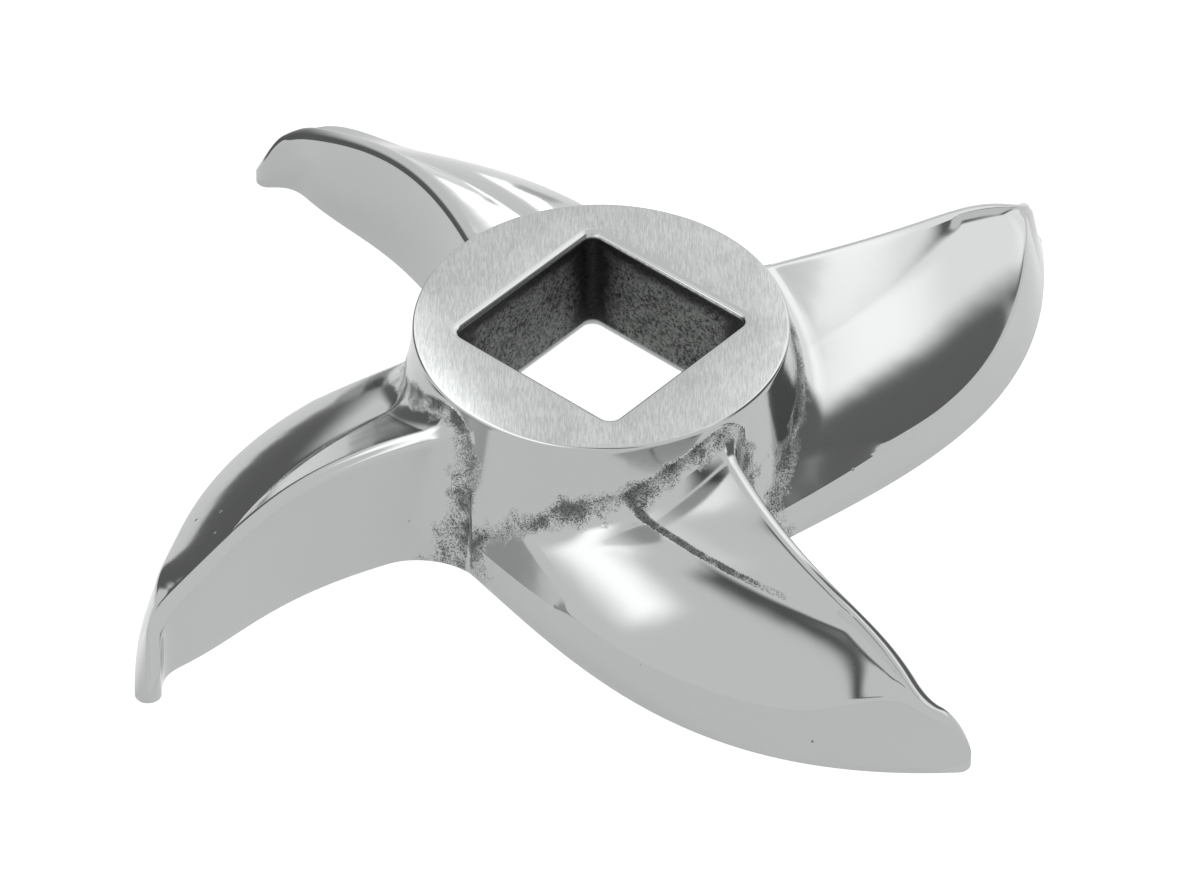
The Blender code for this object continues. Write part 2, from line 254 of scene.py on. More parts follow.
class BladeForm:
    """One blade of the casting, worked out from the sizes."""

    # Shares of the blade's length, from the hub to the tip
    facet_end = 0.6
    lean_start = 0.3
    lean_end = 0.8
    waist = 0.6
    rise_start = 0.6
    rise_end = 0.87
    claw_start = 0.83
    tip_start = 0.95
    root_blend_end = 0.6
    scoop_end = 0.24
    # How much of its height the nose loses at its end
    nose_drop = 0.6
    # Limits that keep the forms clear of each other where the blade is narrow
    crest_limit = 0.35
    inset_limit = 0.7
    drop_limit = 0.6
    facet_limit = 0.5
    fold_limit = 0.3
    crease_limit = 0.4
    # How late the facet and the dressed flat die out
    facet_fade = 1.1
    scoop_fade = 0.8
    # How quickly the rounded crease goes over into the dressed flat
    scoop_flatness = 6.0
    # Halvings of the length in the search for a radius
    search_steps = 22

    def __init__(self, size):
        self.size = size
        self.tip_centre = polar(size.swing_radius - size.tip_radius, size.tip_angle)
        self.tip_ahead = heading(size.tip_heading)
        self.tip_side = heading(size.tip_heading - math.pi / 2.0)
        edge_root = polar(size.hub_radius + size.hub_flare, size.edge_root_angle)
        edge_end = self.tip_centre + self.tip_side * size.tip_radius
        wall_root = polar(size.hub_radius, size.wall_root_angle)
        claw_root = polar(size.swing_radius - size.claw_length, size.claw_angle)
        wall_end = self.tip_centre - self.tip_side * size.tip_radius
        self.edge_curve = (
            edge_root,
            edge_root + heading(size.edge_root_heading) * size.edge_root_reach,
            edge_end - self.tip_ahead * size.edge_tip_reach,
            edge_end,
        )
        self.wall_curve = (
            wall_root,
            wall_root + heading(size.wall_root_heading) * size.wall_root_reach,
            claw_root - heading(size.claw_heading) * size.wall_end_reach,
            claw_root,
        )
        self.claw_curve = (
            claw_root,
            claw_root + heading(size.claw_heading) * size.claw_reach,
            wall_end - self.tip_ahead * size.claw_reach,
            wall_end,
        )
        self.stations = {}

    def tip_turn(self, along):
        """How far a point has gone round the tip's rounded end, up to a right angle."""
        return math.pi / 2.0 * max(along - self.tip_start, 0.0) / (1.0 - self.tip_start)

    def edge_point(self, along):
        """The blade's full side at the cutting face."""
        if along <= self.tip_start:
            return bezier(self.edge_curve, along / self.tip_start)
        angle = self.tip_turn(along)
        away = self.tip_side * math.cos(angle) + self.tip_ahead * math.sin(angle)
        return self.tip_centre + away * self.size.tip_radius

    def wall_point(self, along):
        """The blade's hollow side."""
        if along <= self.claw_start:
            return bezier(self.wall_curve, along / self.claw_start)
        if along <= self.tip_start:
            return bezier(self.claw_curve, (along - self.claw_start) / (self.tip_start - self.claw_start))
        angle = self.tip_turn(along)
        away = self.tip_ahead * math.sin(angle) - self.tip_side * math.cos(angle)
        return self.tip_centre + away * self.size.tip_radius

    def hub_side(self, height):
        """Radius of the hub's cast side, which flares towards the foot."""
        size = self.size
        part = min(max(1.0 - height / size.height, 0.0), 1.0)
        return size.hub_radius + size.hub_flare * part ** size.hub_flare_power

    def crest_radius(self, along):
        """How far out the crest lies."""
        return self.wall_point(along).lerp(self.edge_point(along), self.size.crest_set_in).length

    def top_level(self, radius):
        """Height of the blade from the side: nearly level from the hub, then curling down at the tip."""
        size = self.size
        part = (radius - size.hub_radius) / (size.swing_radius - size.hub_radius)
        part = min(max(part, 0.0), 1.0)
        root = size.height - size.crest_drop
        return mix(size.tip_height, root, (1.0 - part ** size.crest_curl) ** size.crest_round)

    def section(self, along):
        """The blade's section at a share of its length, worked out once and kept."""
        key = round(along, 9)
        if key not in self.stations:
            self.stations[key] = self.work_out_section(along)
        return self.stations[key]

    def work_out_section(self, along):
        """Placed points from the wall's foot to the edge's foot, and the section that they come from.

        The section holds (distance from the wall, height) and lies along the direction that is given last.
        """
        size = self.size
        wall = self.wall_point(along)
        across = self.edge_point(along) - wall
        width = across.length
        across = across.normalized() if width > WELD else self.tip_side
        crest = self.top_level(self.crest_radius(along))
        radius = min(size.crest_radius, width * self.crest_limit)
        low_band = mix(size.band_height, size.band_waist_height, ease(along / self.waist))
        rise = ease((along - self.rise_start) / (self.rise_end - self.rise_start)) ** 2
        highest = crest - radius / 2.0
        band = min(mix(low_band, highest, rise), highest)
        leaning = ease((along - self.lean_start) / (self.lean_end - self.lean_start))
        lean = mix(size.band_lean_root, size.band_lean_tip, leaning)
        inset = min(low_band * math.tan(lean), (width - radius) * self.inset_limit)
        fade = max(1.0 - along / self.facet_end, 0.0) ** self.facet_fade
        reach = min(mix(size.facet_reach_end, size.facet_reach, fade), (radius + width - inset) / 2.0)
        drop = min(mix(size.facet_drop_end, size.facet_drop, fade), (crest - band) * self.drop_limit)
        level = crest - radius * (1.0 - math.cos(size.crest_shoulder))
        shoulder = Vector((radius * (1.0 + math.sin(size.crest_shoulder)), level))
        shoulder.x = min(shoulder.x, (radius + reach) / 2.0)
        fold = Vector((reach, crest - drop))
        crease = Vector((width - inset, band))
        foot = Vector((width, 0.0))
        bulge = size.slope_bulge * min((crease.x - fold.x) / size.facet_reach, 1.0)

        def slope(part):
            """The broad slope from fold to crease, as a parabola that stands proud by the bulge."""
            point = fold.lerp(crease, part)
            point.y += bulge * 4.0 * part * (1.0 - part)
            return point

        slope_length = max((crease - fold).length, WELD)
        facet_length = max((fold - shoulder).length, WELD)
        band_length = max((foot - crease).length, WELD)
        scoop = max(1.0 - along / self.scoop_end, 0.0) ** self.scoop_fade
        fold_start = max(1.0 - size.fold_round / facet_length, self.facet_limit)
        fold_end = min(size.fold_round / slope_length, self.fold_limit)
        crease_up = size.crease_round + size.scoop_up * scoop
        crease_down = size.crease_round + size.scoop_down * scoop
        crease_start = 1.0 - min(crease_up / slope_length, self.crease_limit)
        crease_end = min(crease_down / band_length, self.crease_limit)
        fold_a = shoulder.lerp(fold, fold_start)
        fold_b = slope(fold_end)
        crease_a = slope(crease_start)
        crease_b = crease.lerp(foot, crease_end)
        flat = min(scoop * self.scoop_flatness, 1.0)
        control = crease.lerp((crease_a + crease_b) / 2.0, flat)

        points = [Vector((0.0, (crest - radius) * row / WALL_ROWS)) for row in range(WALL_ROWS)]
        for row in range(CREST_ROWS):
            angle = (math.pi / 2.0 + size.crest_shoulder) * row / CREST_ROWS
            point = Vector((radius * (1.0 - math.cos(angle)), crest - radius * (1.0 - math.sin(angle))))
            point.x = min(point.x, shoulder.x)
            points.append(point)
        points += [shoulder.lerp(fold_a, row / FACET_ROWS) for row in range(FACET_ROWS)]
        points += [corner(fold_a, fold, fold_b, row / FOLD_ROWS) for row in range(FOLD_ROWS)]
        points += [slope(mix(fold_end, crease_start, row / SLOPE_ROWS)) for row in range(SLOPE_ROWS)]
        points += [corner(crease_a, control, crease_b, row / CREASE_ROWS) for row in range(CREASE_ROWS)]
        points += [crease_b.lerp(foot, row / BAND_ROWS) for row in range(BAND_ROWS + 1)]
        # At the very tip the band meets the wall, so the two share their points
        if width < WELD:
            points[CREASE_ROW:] = points[WALL_TOP_ROW::-1]
        placed = []
        nose = ease((along - self.claw_start) / (self.tip_start - self.claw_start))
        for point in points:
            plan = wall + across * point.x
            fall = mix(1.0, self.top_level(plan.length) / crest, nose)
            before_end = size.tip_radius - (plan - self.tip_centre).dot(self.tip_ahead)
            ahead = max(1.0 - before_end / size.nose_length, 0.0)
            fall *= 1.0 - self.nose_drop * ahead * ahead * nose
            placed.append(Vector((plan.x, plan.y, point.y * fall)))
        return placed, points, across

    def row_point(self, row, along):
        return self.section(along)[0][row]

    def row_normal(self, row, along):
        """The way out of the metal at a row, square to the blade's length."""
        points, across = self.section(along)[1:]
        run = points[min(row + 1, ROW_COUNT - 1)] - points[max(row - 1, 0)]
        return Vector((across.x * -run.y, across.y * -run.y, run.x)).normalized()

    def row_fillet(self, row):
        """Reach and height of the fillet at a row's root."""
        size = self.size
        if row <= WALL_TOP_ROW:
            value = mix(size.web_fillet, size.fillet, row / WALL_TOP_ROW)
            return value, value
        start = SLOPE_ROW + SLOPE_ROWS // 2
        if row < start:
            return size.fillet, size.fillet
        part = min((row - start) / (CREASE_ROW - start), 1.0)
        return size.fillet, mix(size.fillet, size.band_fillet, ease(part))

    def first_outside(self, row, radius_of, start):
        """The share of the blade's length at which a row passes a radius."""
        point = self.work_out_section(start)[0][row]
        if point.xy.length >= radius_of(point.z):
            return start
        low = start
        high = self.root_blend_end
        for _ in range(self.search_steps):
            middle = (low + high) / 2.0
            point = self.section(middle)[0][row]
            if point.xy.length < radius_of(point.z):
                low = middle
            else:
                high = middle
        return high

    def filleted(self, row, along, grow):
        """A row's point raised out of the metal: sideways round the hub, and up."""
        point = self.row_point(row, along)
        normal = self.row_normal(row, along)
        radius = point.xy.length
        sideways = (normal.y * point.x - normal.x * point.y) / radius * grow
        plan = polar(radius, math.atan2(point.y, point.x) + sideways / radius)
        level = point.z + normal.z * grow if 0 < row < ROW_COUNT - 1 else 0.0
        return Vector((plan.x, plan.y, level))

    def row_points(self, row):
        """One row's points with how pitted each is, from the hub, through the fillet and out to the tip."""
        reach, height = self.row_fillet(row)
        start = self.first_outside(row, self.hub_side, 0.0)
        start_radius = self.row_point(row, start).xy.length
        points = []
        along = start
        for step in range(FILLET_STEPS):
            angle = math.pi / 2.0 * (1.0 - step / FILLET_STEPS)
            radius = start_radius + reach * (1.0 - math.sin(angle))
            along = self.first_outside(row, lambda level: radius, along)
            points.append(self.filleted(row, along, height * (1.0 - math.cos(angle))))
        root = self.first_outside(row, lambda level: start_radius + reach, along)
        shares = [self.claw_start * step / BLADE_STEPS for step in range(BLADE_STEPS)]
        shares += [mix(self.claw_start, self.tip_start, step / CLAW_STEPS) for step in range(CLAW_STEPS)]
        shares += [mix(self.tip_start, 1.0, step / TIP_STEPS) for step in range(TIP_STEPS + 1)]
        for part in shares:
            points.append(self.row_point(row, part + root * max(1.0 - part / self.root_blend_end, 0.0)))
        marked = []
        for point in points:
            past = (point.xy.length - start_radius) / reach
            marked.append(Vector((point.x, point.y, point.z, max(1.0 - past, 0.0))))
        return marked


def in_polar(point):
    return Vector((point.xy.length, math.atan2(point.y, point.x), point.z, point.w))


def from_polar(values):
    plan = polar(values.x, values.y)
    return Vector((plan.x, plan.y, values.z, values.w))


def turned(point, angle):
    """A marked point moved round the bore's axis."""
    plan = Matrix.Rotation(angle, 2) @ point.xy
    return Vector((plan.x, plan.y, point.z, point.w))


def hub_line(form, foot):
    """From the hub's rim down its side to a point where a blade or a web takes over."""
    size = form.size
    radius, angle, height, pitting = in_polar(foot)
    spare = radius - form.hub_side(height)
    points = []
    for step in range(RIM_STEPS):
        bend = math.pi / 2.0 * step / RIM_STEPS
        out = size.hub_radius - size.hub_edge * (1.0 - math.sin(bend))
        level = size.height - size.hub_edge * (1.0 - math.cos(bend))
        points.append(from_polar(Vector((out, angle, level, 0.0))))
    top = size.height - size.hub_edge
    for step in range(HUB_STEPS):
        part = step / HUB_STEPS
        level = mix(top, height, part)
        mark = pitting * max(part - HUB_PIT_START, 0.0) / (1.0 - HUB_PIT_START)
        out = form.hub_side(level) + spare * part * part
        points.append(from_polar(Vector((out, angle, level, mark))))
    return points + [foot]


def pitted_fold(rows):
    """A blade's rows with pits left along the fold, which a belt reaches on some blades only."""
    marked = list(rows)
    for row in range(FOLD_ROW + 1, FOLD_ROW + 1 + PITTED_ROWS):
        marked[row] = []
        for point in rows[row]:
            past = (point.xy.length - FOLD_PIT_START) / FOLD_PIT_FADE
            pitting = FOLD_PITTING * (1.0 - ease(past))
            marked[row].append(Vector((*point.xyz, max(point.w, pitting))))
    return marked


def shaped_grid(mesh, rows, material=POLISHED):
    """A flat grid laid onto rows of marked points."""
    columns = len(rows[0]) - 1
    lines = len(rows) - 1
    grid = bmesh.ops.create_grid(mesh, x_segments=columns, y_segments=lines, size=0.5)["verts"]
    mark = mesh.verts.layers.float["pitting"]
    # The flat grid runs from -0.5 to 0.5 both ways
    for vert in grid:
        point = rows[round((vert.co.y + 0.5) * lines)][round((vert.co.x + 0.5) * columns)]
        vert.co = point.xyz
        vert[mark] = point.w
    for face in {face for vert in grid for face in vert.link_faces}:
        face.material_index = material


def rounded_square(width, round_off, level):
    """A square outline with rounded corners, at one height."""
    points = []
    inner = width / 2.0 - round_off
    for quarter in range(4):
        centre = heading(math.pi / 4.0 + quarter * math.pi / 2.0) * inner * math.sqrt(2.0)
        for step in range(CORNER_STEPS + 1):
            plan = centre + polar(round_off, math.pi / 2.0 * (quarter + step / CORNER_STEPS))
            points.append(Vector((plan.x, plan.y, level, 0.0)))
    return points + points[:1]


def bore_levels(size):
    """The outlines of the bore and its pocket, from the hub's face down to the cutting faces."""
    levels = []
    for step in range(BORE_LIP_STEPS + 1):
        angle = math.pi / 2.0 * (1.0 - step / BORE_LIP_STEPS)
        grow = size.bore_lip * (1.0 - math.cos(angle))
        level = size.height - size.bore_lip * (1.0 - math.sin(angle))
        levels.append(rounded_square(size.bore_width + 2.0 * grow, size.bore_corner + grow, level))
    top = size.height - size.bore_lip
    low = size.pocket_depth + size.bore_foot
    for step in range(1, BORE_STEPS):
        levels.append(rounded_square(size.bore_width, size.bore_corner, mix(top, low, step / BORE_STEPS)))
    for step in range(BORE_FOOT_STEPS + 1):
        angle = math.pi / 2.0 * step / BORE_FOOT_STEPS
        grow = size.bore_foot * (1.0 - math.cos(angle))
        level = low - size.bore_foot * math.sin(angle)
        levels.append(rounded_square(size.bore_width + 2.0 * grow, size.bore_corner + grow, level))
    inner = size.pocket_width - 2.0 * size.bore_foot
    levels.append(rounded_square(inner, size.pocket_corner - size.bore_foot, size.pocket_depth))
    levels.append(rounded_square(size.pocket_width, size.pocket_corner, size.pocket_depth - size.bore_foot))
    levels.append(rounded_square(size.pocket_width + 2.0 * size.pocket_draft, size.pocket_corner, 0.0))
    return levels


def build_knife(size):
    """The whole casting as one closed mesh."""
    mesh = bmesh.new()
    mesh.verts.layers.float.new("pitting")
    form = BladeForm(size)
    rows = [form.row_points(row) for row in range(ROW_COUNT)]
    quarter = 2.0 * math.pi / BLADE_COUNT
    # A web runs round the hub from the foot of one blade's wall to the foot of the next blade's band
    web_start = [rows[row][0] for row in range(WALL_TOP_ROW + 1)]
    web_end = [turned(rows[ROW_COUNT - 1 - row][0], quarter) for row in range(WALL_TOP_ROW + 1)]
    web = []
    for step in range(WEB_STEPS + 1):
        part = step / WEB_STEPS
        column = [from_polar(in_polar(a).lerp(in_polar(b), part)) for a, b in zip(web_start, web_end)]
        for point in column:
            point.w *= 1.0 - WEB_PIT_DIP * math.sin(math.pi * part)
        web.append(column)
    feet = [column[-1] for column in web[:0:-1]]
    feet += [row[0] for row in rows[WALL_TOP_ROW:CREASE_ROW + 1]]
    hub = [hub_line(form, foot) for foot in feet]
    pitted = pitted_fold(rows)
    for blade in range(BLADE_COUNT):
        angle = blade * quarter + size.blade_turn
        for part in (pitted if blade in PITTED_BLADES else rows, web, hub):
            shaped_grid(mesh, [[turned(point, angle) for point in row] for row in part])
    shaped_grid(mesh, bore_levels(size), CAST)
    bmesh.ops.remove_doubles(mesh, verts=mesh.verts, dist=WELD)
    bmesh.ops.dissolve_degenerate(mesh, edges=mesh.edges, dist=WELD)
    # What is still open are the two flat levels, the hub's ground face and the cutting faces
    rims = [edge for edge in mesh.edges if edge.is_boundary]
    for level in (size.height, 0.0):
        rim = [edge for edge in rims if all(abs(vert.co.z - level) < WELD for vert in edge.verts)]
        filled = bmesh.ops.triangle_fill(mesh, use_beauty=True, use_dissolve=False, edges=rim)
        for face in filled["geom"]:
            if isinstance(face, bmesh.types.BMFace):
                face.material_index = GROUND
    bmesh.ops.recalc_face_normals(mesh, faces=mesh.faces)
    return mesh


# Materials

# Colours of the marks on the steel, and of the painted shade in the bore's corners and under its lip
PIT_COLOUR = "#333433"
SCRATCH_DARK = "#A8ABA9"
SCRATCH_BRIGHT = "#C3C5C4"
# The last colour is the very dark tone of the painted shade in the bore's corners and under its lip
PAINTED_SHADE_COLOUR = "#1D1E1D"


def add_node(tree, kind, settings=None, **links):
    """One node; each link names an input and gives a value or the socket that feeds it."""
    node = tree.nodes.new(kind)
    for name, value in (settings or {}).items():
        setattr(node, name, value)
    for name, value in links.items():
        key = int(name[2:]) if name.startswith("in") and name[2:].isdigit() else name.replace("_", " ")
        if isinstance(value, bpy.types.NodeSocket):
            tree.links.new(value, node.inputs[key])
        else:
            node.inputs[key].default_value = value
    return node


def metal(name, base, roughness):
    """A material with a metallic shader, and its tree."""
    material = bpy.data.materials.new(name)
    material.use_nodes = True
    tree = material.node_tree
    shader = tree.nodes["Principled BSDF"]
    shader.inputs["Base Color"].default_value = (*base, 1.0)
    shader.inputs["Metallic"].default_value = 1.0
    shader.inputs["Roughness"].default_value = roughness
    return material, tree, shader


def maths(tree, operation, first, second=0.0):
    settings = {"operation": operation}
    return add_node(tree, "ShaderNodeMath", settings, in0=first, in1=second).outputs["Value"]


def ramp(tree, value, low, high):
    """Goes smoothly from 0 to 1 as a value goes from low to high."""
    return add_node(
        tree, "ShaderNodeMapRange", {"interpolation_type": "SMOOTHSTEP"},
        Value=value, From_Min=low, From_Max=high, To_Min=0.0, To_Max=1.0,
    ).outputs["Result"]


def between(tree, part, first, second):
    """Goes evenly from the first value to the second as a part goes from 0 to 1."""
    return add_node(tree, "ShaderNodeMapRange", Value=part, To_Min=first, To_Max=second).outputs["Result"]


def blend(tree, part, first, second):
    """A colour that goes from the first to the second; each is a socket or a plain colour."""
    ends = [end if isinstance(end, bpy.types.NodeSocket) else (*end, 1.0) for end in (first, second)]
    settings = {"data_type": "RGBA"}
    return add_node(tree, "ShaderNodeMix", settings, in0=part, in6=ends[0], in7=ends[1]).outputs[2]


def noise(tree, place, scale, detail, roughness=0.5):
    links = {"Vector": place, "Scale": scale, "Detail": detail, "Roughness": roughness}
    return add_node(tree, "ShaderNodeTexNoise", **links).outputs["Fac"]


def polished_steel(finish):
    """Cast stainless, belt polished.

    It is a bright, slightly wavy mirror, left pitted in the fillets that a belt can't reach.
    """
    material, tree, shader = metal("polished_cast_stainless", finish.polished, finish.polish_roughness)
    place = add_node(tree, "ShaderNodeTexCoord").outputs["Object"]
    marked = add_node(tree, "ShaderNodeAttribute", {"attribute_name": "pitting"}).outputs["Fac"]

    # Polishing waves a few millimetres long and about a hundredth of a millimetre deep
    waves = noise(tree, place, 260.0, 1.0)
    # Casting pores 0.1 to 0.2 mm wide, in clumps and streaks where the polish thins out
    pores = noise(tree, place, 6400.0, 2.0, 0.7)
    patches = noise(tree, place, 520.0, 4.0, 0.6)
    uneven = maths(tree, "MULTIPLY", maths(tree, "SUBTRACT", patches, 0.5), 1.5)
    reach = maths(tree, "ADD", marked, uneven)
    mask = ramp(tree, reach, 0.62, 1.02)
    holes = maths(tree, "MULTIPLY", ramp(tree, pores, 0.53, 0.57), mask)
    # Scale left in the deepest line of the fillets
    scale = maths(tree, "MULTIPLY", ramp(tree, reach, 0.85, 1.2), 0.75)
    # Scattered single pores in the polished slopes
    cells = add_node(tree, "ShaderNodeTexVoronoi", Vector=place, Scale=330.0).outputs["Distance"]
    chosen = ramp(tree, noise(tree, place, 210.0, 0.0), 0.6, 0.64)
    single = maths(tree, "MULTIPLY", ramp(tree, cells, 0.065, 0.03), chosen)
    dark = maths(tree, "MAXIMUM", holes, single)

    stained = maths(tree, "MAXIMUM", maths(tree, "MULTIPLY", dark, 0.85), scale)
    tint = blend(tree, stained, finish.polished, linear(PIT_COLOUR))
    tree.links.new(tint, shader.inputs["Base Color"])
    dulled = maths(tree, "MAXIMUM", dark, maths(tree, "MULTIPLY", mask, 0.45))
    rough = between(tree, dulled, finish.polish_roughness, 0.42)
    tree.links.new(rough, shader.inputs["Roughness"])
    wavy = add_node(tree, "ShaderNodeBump", Height=waves, Strength=0.12, Distance=0.00025).outputs["Normal"]
    height = maths(tree, "SUBTRACT", maths(tree, "MULTIPLY", pores, mask), dark)
    pitted = add_node(tree, "ShaderNodeBump", Height=height, Strength=0.6, Distance=0.00015, Normal=wavy)
    tree.links.new(pitted.outputs["Normal"], shader.inputs["Normal"])
    return material


def ground_steel(finish, size):
    """Stainless ground on a flat belt: a satin face with one straight lay, which streaks its shine."""
    material, tree, shader = metal("ground_stainless", finish.ground, 0.34)
    place = add_node(tree, "ShaderNodeTexCoord").outputs["Object"]
    lay = (0.0, 0.0, -size.blade_turn)
    straight = add_node(tree, "ShaderNodeMapping", Vector=place, Rotation=lay).outputs["Vector"]
    # Scratches about 0.1 mm apart and 1 to 2 mm long, with faint patches a few millimetres wide
    stretch = (10500.0, 900.0, 1000.0)
    lined = add_node(tree, "ShaderNodeMapping", Vector=straight, Scale=stretch).outputs["Vector"]
    lines = noise(tree, lined, 1.0, 3.0, 0.7)
    blotch = noise(tree, place, 300.0, 2.0)
    tone = maths(tree, "ADD", maths(tree, "MULTIPLY", lines, 0.8), maths(tree, "MULTIPLY", blotch, 0.2))
    tint = blend(tree, ramp(tree, tone, 0.36, 0.64), linear(SCRATCH_DARK), linear(SCRATCH_BRIGHT))
    tree.links.new(tint, shader.inputs["Base Color"])
    tree.links.new(between(tree, lines, 0.3, 0.42), shader.inputs["Roughness"])
    bump = add_node(tree, "ShaderNodeBump", Height=lines, Strength=0.2, Distance=0.00003)
    tree.links.new(bump.outputs["Normal"], shader.inputs["Normal"])
    return material


def cast_steel(finish, size):
    """Stainless as it left the mould.

    It has a dull, grainy dark skin in the bore, cleaner along the dressed lip and foot, with very dark
    painted shade in the bore's corners and in a band just under the lip.
    """
    material, tree, shader = metal("as_cast_stainless", finish.cast, 0.5)
    place = add_node(tree, "ShaderNodeTexCoord").outputs["Object"]
    axes = add_node(tree, "ShaderNodeSeparateXYZ", Vector=place).outputs
    level = axes["Z"]
    # Sand grain 0.2 to 0.5 mm across
    grain = noise(tree, place, 3400.0, 4.0, 0.75)
    blotch = noise(tree, place, 380.0, 3.0)
    lip = size.bore_lip
    top = ramp(tree, level, size.height - 1.2 * lip, size.height - 0.6 * lip)
    round_off = size.bore_foot
    foot = ramp(tree, level, size.pocket_depth + 2.2 * round_off, size.pocket_depth + 1.2 * round_off)
    dressed = maths(tree, "MAXIMUM", top, foot)
    # Painted shade, very dark, in the bore's corners and in a band just under the lip, where shade falls
    corner_wander = 0.005
    corner_fade = 0.0016
    lip_wander = 0.0015
    lip_depth = 0.0017
    lip_full = 0.0004
    sides = [maths(tree, "ABSOLUTE", axes[axis]) for axis in "XY"]
    wander = maths(tree, "MULTIPLY", blotch, corner_wander)
    inward = maths(tree, "ADD", maths(tree, "MINIMUM", *sides), wander)
    half = size.bore_width / 2.0
    corners = ramp(tree, inward, half - corner_fade, half + corner_fade)
    under = maths(tree, "ADD", level, maths(tree, "MULTIPLY", blotch, lip_wander))
    upper = ramp(tree, under, size.height - lip_depth, size.height - lip_full)
    painted_shade = maths(tree, "MAXIMUM", corners, upper)
    tone = maths(tree, "ADD", maths(tree, "MULTIPLY", grain, 0.8), maths(tree, "MULTIPLY", blotch, 0.2))
    # The grain's tone is kept wherever there is no painted shade
    unshaded = maths(tree, "SUBTRACT", 1.0, maths(tree, "MULTIPLY", painted_shade, 0.92))
    grain_and_shade = maths(tree, "MULTIPLY", ramp(tree, tone, 0.36, 0.6), unshaded)
    # The skin's colour carries the painted shade in the corners and under the lip
    skin = blend(tree, grain_and_shade, linear(PAINTED_SHADE_COLOUR), finish.cast)
    tree.links.new(blend(tree, dressed, skin, finish.polished), shader.inputs["Base Color"])
    tree.links.new(between(tree, dressed, 0.5, 0.18), shader.inputs["Roughness"])
    rugged = maths(tree, "MULTIPLY", grain, maths(tree, "SUBTRACT", 1.0, dressed))
    bump = add_node(tree, "ShaderNodeBump", Height=rugged, Strength=0.6, Distance=0.00025)
    tree.links.new(bump.outputs["Normal"], shader.inputs["Normal"])
    return material


class GRINDER_OT_knife(bpy.types.Operator):
    """Builds the cast knife over its frame node"""

    bl_idname = "grinder.knife"
    bl_label = "Knife"

    def execute(self, context):
        size = context.scene.knife_shape
        finish = context.scene.knife_finish
        data = bpy.data.meshes.new("knife_casting")
        mesh = build_knife(size)
        mesh.to_mesh(data)
        mesh.free()
        data.shade_smooth()
        data.set_sharp_from_angle(angle=math.radians(SHARP_ANGLE))
        for material in (polished_steel(finish), ground_steel(finish, size), cast_steel(finish, size)):
            data.materials.append(material)
        knife = bpy.data.objects.new("knife_casting", data)
        context.scene.collection.objects.link(knife)
        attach(knife, "root")
        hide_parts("knife")
        return {"FINISHED"}


# Studio

FLOOR_RADIUS = 3.0
# The floor lies this far under the cutting faces, so that the two don't mix
FLOOR_GAP = 0.00002
# How brightly the floor glows where the steel mirrors it, and where the camera sees it
FLOOR_MIRRORED = 0.6
FLOOR_SEEN = 0.84
# How brightly the world lights things, and how brightly it is seen
WORLD_LIGHT = 0.2
WORLD_SEEN = 1.0
# How far the softboxes stand from the hub
LAMP_DISTANCE = 0.7
# Each softbox: name, azimuth, elevation, width and height in degrees, brightness, whether steel mirrors it
SOFTBOXES = (
    ("softbox_right", 52.0, 38.0, 70.0, 56.0, 0.42, True),
    ("softbox_overhead", 55.0, 71.0, 50.0, 16.0, 1.2, False),
)
# Middle of each blade's slope, in millimetres along the photo's right, its depth and up
SLOPES = {
    "right": (26.8, 9.2, 8.1),
    "front": (11.0, -28.1, 8.1),
    "left": (-29.1, -13.5, 8.0),
    "back": (-13.4, 26.8, 9.5),
}
# Each small lamp: name, blade, view, offset, twist, width and height, soft border and brightness
SMALL_LAMPS = (
    ("glare_right", "right", (48.0, 62.0, 60.0), (-6.0, -2.0), 0.0, (84.0, 62.0), 28.0, 0.4),
    ("glare_front", "front", (-93.0, 54.0, 25.0), (16.0, -9.0), -14.0, (33.0, 13.0), 6.0, 1.05),
    ("glare_edge", "front", (-82.0, 68.0, 24.0), (23.0, -25.0), -10.0, (25.0, 11.0), 5.0, 0.8),
    ("glare_left", "left", (-5.0, 44.0, 32.0), (11.7, 12.5), 42.0, (15.0, 16.0), 5.3, 0.7),
    ("glare_back", "back", (9.0, -13.0, 45.0), (5.5, 2.9), -40.0, (6.0, 42.0), 1.1, 2.0),
)
# Each flag: the same, with its tone at the end
FLAGS = (
    ("dark_right", "right", (69.0, 40.0, 23.0), (19.4, -4.8), -31.0, (41.0, 56.0), 5.8, 0.19),
    ("dark_right_tip", "right", (64.0, 38.0, 21.0), (12.8, 18.3), -7.0, (19.0, 42.0), 7.4, 0.19),
    ("dark_front", "front", (-90.0, 64.0, 28.0), (-2.8, 9.3), -30.0, (44.0, 10.0), 4.9, 0.08),
    ("dark_left", "left", (-29.0, 11.0, 51.0), (-2.6, -7.8), 42.0, (57.0, 67.0), 12.0, 0.17),
    ("dark_back", "back", (34.0, -5.0, 31.0), (-5.1, -11.0), 7.0, (7.0, 19.0), 1.6, 0.56),
)
# The photo is 1200 px wide. The hub's ground face is 378.2 px across there, and its centre stands
# 1.0 px right of the picture's centre and 112.1 px above it.
PHOTO_WIDTH_PIXELS = 1200.0
HUB_RADIUS_PIXELS = 189.1
HUB_RIGHT_PIXELS = 1.0
HUB_ABOVE_PIXELS = 112.1


def from_view(azimuth, elevation, distance, size):
    """A place seen from the hub; azimuth runs clockwise, from straight behind the knife."""
    angle = math.radians(90.0 - azimuth) + size.blade_turn
    level = math.radians(elevation)
    plan = polar(distance * math.cos(level), angle)
    return Vector((plan.x, plan.y, distance * math.sin(level)))


def spread(distance, degrees):
    """How wide something is that covers an angle as seen from the hub."""
    return 2.0 * distance * math.tan(math.radians(degrees / 2.0))


def area_lamp(name, width, height, brightness):
    """A rectangular lamp whose face looks as bright as a white sheet times the brightness."""
    data = bpy.data.lights.new(name, "AREA")
    data.shape = "RECTANGLE"
    data.size = width
    data.size_y = height
    data.energy = brightness * math.pi * data.size * data.size_y
    return bpy.data.objects.new(name, data)


